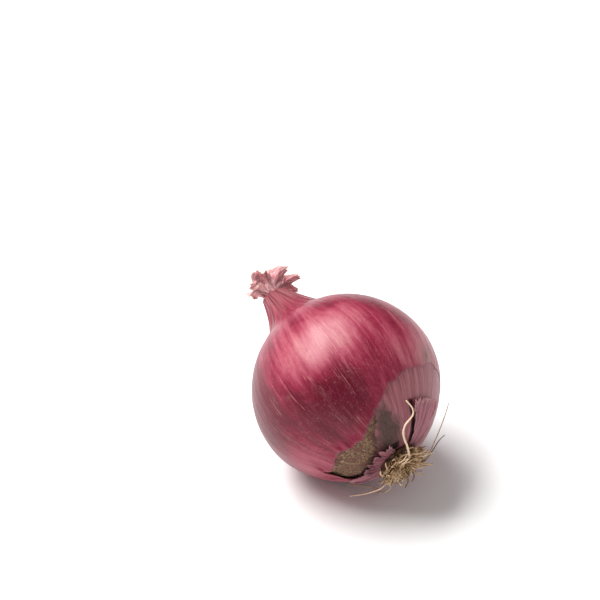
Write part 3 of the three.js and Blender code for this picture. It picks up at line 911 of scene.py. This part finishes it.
def root_plate():
    """A disc with a plain side against the bulb and a lumpy, pitted one towards the roots."""
    turn = -np.arange(PLATE_COLUMNS) * 360.0 / PLATE_COLUMNS
    top, bottom = -ROOT_END - GAP, -ROOT_END - GAP - PLATE_THICKNESS
    share = np.linspace(0.02, 1.0, PLATE_ROWS)
    radius = np.concatenate([PLATE_RADIUS * share, PLATE_RADIUS * share[::-1] * 0.96])
    height = np.concatenate([np.full(PLATE_ROWS, top), bottom + 1.3 * share[::-1] ** 6])
    turn, radius_grid = np.meshgrid(turn, radius)
    height_grid = np.broadcast_to(height[:, None], turn.shape)
    rows = len(radius)
    front = smoothstep(PLATE_ROWS - 2, PLATE_ROWS + 2, np.arange(rows))[:, None]
    lumps = waves(turn, radius_grid * 6, (5, 9, 14, 21, 33), 61, 0.06) * 0.35
    pits = 0.25 * np.cos(2.4 * radius_grid + 2 * waves(turn, radius_grid, (6, 11), 62))
    height_grid = height_grid - front * (lumps + pits)
    radius_grid = radius_grid * (1 + 0.03 * waves(turn, height_grid, (7, 13, 22, 31), 63))
    points = around(height_grid, radius_grid, turn).reshape(-1, 3)
    middle = np.array([[0.0, top, 0.0], [0.0, bottom, 0.0]])
    faces = grid_faces(rows, PLATE_COLUMNS, True, 0, True) + end_fans(rows, PLATE_COLUMNS, True)
    points = np.vstack([points, middle])
    make_mesh("root_plate", points, faces, PLATE, ["root_plate"])


# -------- roots
ROOT_SIDES = 8
ROOT_TAPER = 0.45
ROOT_SHAKE = 0.04  # how far each ring is off the smooth route, mm
ROOT_WRINKLE = 0.12  # how much its radius varies
ROOT_FURROW = 0.78  # every second side is this much closer to the middle
LONG_ROOTS = {
    # distance along the axis, radius and turn of each stop, as in the CAD part
    "root_curled": [(PLATE_FACE, 5.2, 5), (-40.6, 8.6, 8), (-39.3, 14.5, 10), (-36.4, 21.6, 12.5),
                    (-34.8, 25.4, 9), (-33.6, 28.2, 1), (-31.6, 30.2, 0), (-28.6, 31.6, 2)],
    "root_straight": [(PLATE_FACE, 5.6, -62), (-40.8, 8.8, -82), (-38.9, 12.6, -84), (-35.9, 17.2, -80),
                      (-32.6, 22, -77), (-29.3, 26.4, -74), (-26.6, 29.8, -72)],
    "root_dark": [(PLATE_FACE, 6.2, -98), (-40.2, 9.6, -99), (-38.9, 13.4, -94), (-37.4, 16.4, -90),
                  (-36.1, 19.2, -87), (-35.4, 22.2, -85)],
    "root_on_table": [(PLATE_FACE, 6.4, 150), (-40.6, 11, 158), (-37.6, 20, 173), (-33.6, 26.6, 179),
                      (-30.6, 29, 176), (-28, 30, 171), (-24.6, 32, 164)],
    "root_pale": [(PLATE_FACE, 6.6, 128), (-39.9, 11.5, 136), (-37.6, 17.5, 142), (-35.6, 21.5, 139),
                  (-34.2, 24.4, 133)],
}
# The thickness in mm and the tone of each, from 0 for brown to 1 for pale straw.
LONG_LOOKS = {"root_curled": (0.9, 1.0), "root_straight": (0.5, 0.6), "root_dark": (0.5, 0.4),
              "root_on_table": (0.6, 0.9), "root_pale": (0.75, 1.0)}
LONG_STEPS = 90
GOLDEN_ANGLE = 137.5  # from one root on the plate to the next
# The short roots that have CAD nodes, spread over the plate; they are shorter than the nodes.
SHORT_ROOTS = 18
FIRST_ANGLE = 44
SHORT_REACH = 6.6
SHORT_LENGTHS = (6.4, 4.9, 7.6, 5.6, 7.0)
SHORT_SIDEWAYS = (10, -16, 22, -8)  # degrees of turn from start to tip
SHORT_THICKNESS, SHORT_STEPS = 0.75, 26


def smooth_route(stops, steps):
    """A Catmull-Rom curve through the stops."""
    stops = np.asarray(stops, float)
    ends = np.vstack([2 * stops[0] - stops[1], stops, 2 * stops[-1] - stops[-2]])
    place = np.linspace(0, len(stops) - 1 - 1e-9, steps)
    i = place.astype(int)
    s = (place - i)[:, None]
    a, b, c, d = ends[i], ends[i + 1], ends[i + 2], ends[i + 3]
    squared, cubed = 2 * a - 5 * b + 4 * c - d, 3 * b - a - 3 * c + d
    return 0.5 * (2 * b + (c - a) * s + squared * s**2 + cubed * s**3)


def tube(stops, thickness, draw, steps):
    """Points and faces of one root, a wrinkled tube that narrows towards its tip, and the share
    of its length at each ring."""
    share = np.linspace(0, 1, steps)
    shake = np.array([[draw.uniform(-1, 1) for _ in range(3)] for _ in range(steps)])
    path = lay_flat(smooth_route(stops, steps) + shake * ROOT_SHAKE, thickness * 0.5)
    tangent = np.gradient(path, axis=0)
    tangent /= np.linalg.norm(tangent, axis=1)[:, None]
    normal = np.cross(tangent[0], [0.3, 0.9, 0.2])  # any start that isn't along the root
    rings = []
    for i in range(steps):
        normal = normal - tangent[i] * (normal @ tangent[i])
        normal = normal / np.linalg.norm(normal)
        binormal = np.cross(tangent[i], normal)
        narrowed = 1 - ROOT_TAPER * share[i] ** 1.5
        radius = 0.5 * thickness * narrowed * (1 + ROOT_WRINKLE * draw.uniform(-1, 1))
        for k in range(ROOT_SIDES):
            angle = 2 * math.pi * k / ROOT_SIDES
            ridged = radius * (ROOT_FURROW if k % 2 else 1.0)
            rings.append(path[i] + ridged * (math.cos(angle) * normal + math.sin(angle) * binormal))
    ends = [path[0] - 0.2 * tangent[0], path[-1] + 0.25 * thickness * tangent[-1]]
    faces = grid_faces(steps, ROOT_SIDES, True) + end_fans(steps, ROOT_SIDES)
    return np.vstack([np.array(rings), ends]), faces, share


def roots(name, routes, material, replaces, seed, tone=None):
    """One piece of one root or more. routes are (stops, thickness, steps). Without a tone, each
    root draws its own."""
    draw = random.Random(seed)
    points, faces, strands, base_shades = [], [], [], []
    start = 0
    for stops, thickness, steps in routes:
        own_points, own_faces, share = tube(stops, thickness, draw, steps)
        faces += [tuple(start + i for i in face) for face in own_faces]
        points.append(own_points)
        strands += [draw.random() if tone is None else tone] * len(own_points)
        # How far the painted shade has faded, from 0 at the plate to 1 about a third of the way along.
        base_shades += list(np.repeat(np.clip(share / 0.35, 0, 1), ROOT_SIDES)) + [0.0, 1.0]
        start += len(own_points)
    layers = {"strand": strands, "depth": base_shades}
    make_mesh(name, np.vstack(points), faces, material, replaces, layers)


def short_route(i):
    share = math.sqrt((i + 0.5) / SHORT_ROOTS)
    begin, turn = SHORT_REACH * share, FIRST_ANGLE + i * GOLDEN_ANGLE
    length = SHORT_LENGTHS[i % len(SHORT_LENGTHS)]
    sideways = SHORT_SIDEWAYS[i % len(SHORT_SIDEWAYS)]
    lean = math.radians(12 + 62 * share)
    out, down = length * math.sin(lean), length * math.cos(lean)
    return [around(*stop) for stop in (
        (PLATE_FACE + 1.0, begin, turn),
        (PLATE_FACE - 1.2 - 0.3 * down, begin + 0.2 * out, turn),
        (PLATE_FACE - 1.2 - 0.8 * down, begin + 0.6 * out, turn + 0.4 * sideways),
        (PLATE_FACE - 1.2 - down, begin + out, turn + sideways),
    )]


TUFT_ROOTS = 210
RIM_ROOTS = 90


def crowded_root(draw, i):
    """A short broken root on the plate's face, which leans further out the nearer the rim it is."""
    share = math.sqrt((i + 0.5) / TUFT_ROOTS)
    begin, turn = (PLATE_RADIUS - 0.4) * share, 17 + i * GOLDEN_ANGLE
    length = draw.uniform(1.8, 4.6) * (0.75 + 0.5 * share)
    lean = math.radians(draw.uniform(0, 30) + 68 * share)
    out, down = length * math.sin(lean), length * math.cos(lean)
    curl = draw.uniform(-34, 34)
    rise = draw.uniform(-0.8, 1.2)
    stops = [
        (PLATE_FACE + 1.2, begin, turn),
        (PLATE_FACE - 0.5 - 0.35 * down, begin + 0.3 * out, turn + 0.15 * curl),
        (PLATE_FACE - 0.5 - 0.8 * down, begin + 0.7 * out, turn + 0.6 * curl),
        (PLATE_FACE - 0.5 - down + rise, begin + out, turn + curl),
    ]
    return [around(*stop) for stop in stops], draw.uniform(0.35, 0.85), 14


def rim_root(draw, i):
    """A stub on the plate's rim."""
    turn = i * 360.0 / RIM_ROOTS + draw.uniform(-2, 2)
    length = draw.uniform(1.6, 4.0)
    curl = draw.uniform(-12, 12)
    begin = PLATE_RADIUS - draw.uniform(0.2, 1.2)
    lean = math.radians(draw.uniform(25, 75))
    out, down = length * math.sin(lean), length * math.cos(lean)
    high = PLATE_FACE + draw.uniform(0.3, 1.8)
    stops = [
        (high + 0.6, begin - 0.8, turn),
        (high - 0.3 * down, begin + 0.4 * out, turn + 0.3 * curl),
        (high - down, begin + out, turn + curl),
    ]
    return [around(*stop) for stop in stops], draw.uniform(0.4, 0.8), 12


def tuft():
    """The rest of the tuft, as one piece."""
    draw = random.Random(81)
    routes = [crowded_root(draw, i) for i in range(TUFT_ROOTS)]
    routes += [rim_root(draw, i) for i in range(RIM_ROOTS)]
    roots("root_tuft", routes, ROOT, (), 82)


# -------- the onion
def long_roots():
    for number, (name, stops) in enumerate(LONG_ROOTS.items()):
        thickness, tone = LONG_LOOKS[name]
        route = ([around(*stop) for stop in stops], thickness, LONG_STEPS)
        material = ROOT_DARK if name == "root_dark" else ROOT
        roots(name, [route], material, [name], 90 + number, tone)


def short_roots():
    for number in range(SHORT_ROOTS):
        name = f"root_short_{number + 1:02d}"
        route = (short_route(number), SHORT_THICKNESS, SHORT_STEPS)
        roots(name, [route], ROOT, [name], 110 + number)


def onion():
    dry_skin()
    under_layer()
    for name, form in LOOSE_PIECES.items():
        loose_piece(name, **form)
    for name, values in LEAF_ENDS.items():
        leaf_end(name, **dict(zip(LEAF_FORM, values)))
    root_plate()
    long_roots()
    short_roots()
    tuft()


onion()


# -------- floor, light and camera
FLOOR_HALF = 2.5
FLOOR_COLOR = (0.92, 0.915, 0.91, 1)


def floor():
    material = bpy.data.materials.new("floor_white")
    material.use_nodes = True
    surface = material.node_tree.nodes["Principled BSDF"]
    surface.inputs["Base Color"].default_value = FLOOR_COLOR
    surface.inputs["Roughness"].default_value = 1.0
    surface.inputs["Specular IOR Level"].default_value = 0.0
    mesh = bpy.data.meshes.new("floor")
    signs = ((-1, -1), (1, -1), (1, 1), (-1, 1))
    corners = [(x * FLOOR_HALF, y * FLOOR_HALF, 0) for x, y in signs]
    mesh.from_pydata(corners, [], [(0, 1, 2, 3)])
    mesh.materials.append(material)
    plane = bpy.data.objects.new("floor", mesh)
    bpy.context.scene.collection.objects.link(plane)


# The camera's direction from the onion, and its right and up.
VIEW_AZIMUTH = math.radians(53.2)
VIEW_ELEVATION = math.radians(38.0)
BACK = Vector((math.sin(VIEW_AZIMUTH) * math.cos(VIEW_ELEVATION),
               -math.cos(VIEW_AZIMUTH) * math.cos(VIEW_ELEVATION), math.sin(VIEW_ELEVATION)))
RIGHT = Vector((math.cos(VIEW_AZIMUTH), math.sin(VIEW_AZIMUTH), 0.0))
UP = BACK.cross(RIGHT)
CAMERA_DISTANCE = 0.8
FRAME_WIDTH = 0.2363  # what the frame holds across at the onion's distance
BULB_RIGHT, BULB_DOWN = 0.0830, 0.1483  # the bulb's place in the frame, in frame widths
SENSOR = 36.0


def camera():
    centre = Vector(CENTRE * MM)
    data = bpy.data.cameras.new("camera")
    data.sensor_width = SENSOR
    data.lens = SENSOR * CAMERA_DISTANCE / FRAME_WIDTH
    eye = bpy.data.objects.new("camera", data)
    bpy.context.scene.collection.objects.link(eye)
    eye.location = centre + CAMERA_DISTANCE * BACK
    aim = centre + FRAME_WIDTH * (BULB_DOWN * UP - BULB_RIGHT * RIGHT)
    forward = (aim - eye.location).normalized()
    side = forward.cross(Vector((0, 0, 1))).normalized()
    top = side.cross(forward)
    eye.matrix_world = Matrix((
        (side.x, top.x, -forward.x, eye.location.x),
        (side.y, top.y, -forward.y, eye.location.y),
        (side.z, top.z, -forward.z, eye.location.z),
        (0, 0, 0, 1),
    ))
    bpy.context.scene.camera = eye


def softbox(name, direction, distance, width, height, power):
    """A soft rectangular light that faces the onion from a direction in the camera's terms."""
    centre = Vector(CENTRE * MM)
    across, above, towards = direction
    offset = (across * RIGHT + above * UP + towards * BACK).normalized()
    data = bpy.data.lights.new(name, "AREA")
    data.shape = "RECTANGLE"
    data.size, data.size_y = width, height
    data.energy = power
    lamp = bpy.data.objects.new(name, data)
    bpy.context.scene.collection.objects.link(lamp)
    lamp.location = centre + distance * offset
    lamp.rotation_mode = "QUATERNION"
    lamp.rotation_quaternion = offset.to_track_quat("Z", "Y")


KEY_LIGHT = dict(direction=(-0.48, 0.80, 0.36), distance=2.8, width=2.56, height=1.48, power=137.0)
FILL_LIGHT = dict(direction=(0.75, 0.15, 0.65), distance=1.2, width=1.4, height=1.0, power=1.0)
# The white room has three strengths: what it gives to the onion, how bright it is in the onion's
# reflections, which keeps the gloss soft, and how bright it looks behind the onion.
ROOM_LIGHT = 0.38
ROOM_GLINT = 0.07
BACKDROP_LIGHT = 1.0
WHITE = (1.0, 1.0, 1.0, 1.0)


def lights():
    softbox("key", **KEY_LIGHT)
    softbox("fill", **FILL_LIGHT)
    world = bpy.data.worlds.new("world")
    world.use_nodes = True
    nodes, links = world.node_tree.nodes, world.node_tree.links
    background = nodes["Background"]
    background.inputs["Color"].default_value = WHITE
    path = nodes.new("ShaderNodeLightPath")
    glint, strength = nodes.new("ShaderNodeMix"), nodes.new("ShaderNodeMix")
    links.new(path.outputs["Is Glossy Ray"], glint.inputs["Factor"])
    glint.inputs["A"].default_value = ROOM_LIGHT
    glint.inputs["B"].default_value = ROOM_GLINT
    links.new(path.outputs["Is Camera Ray"], strength.inputs["Factor"])
    links.new(glint.outputs["Result"], strength.inputs["A"])
    strength.inputs["B"].default_value = BACKDROP_LIGHT
    links.new(strength.outputs["Result"], background.inputs["Strength"])
    bpy.context.scene.world = world
    bpy.context.scene.view_settings.view_transform = "Standard"


floor()
camera()
lights()
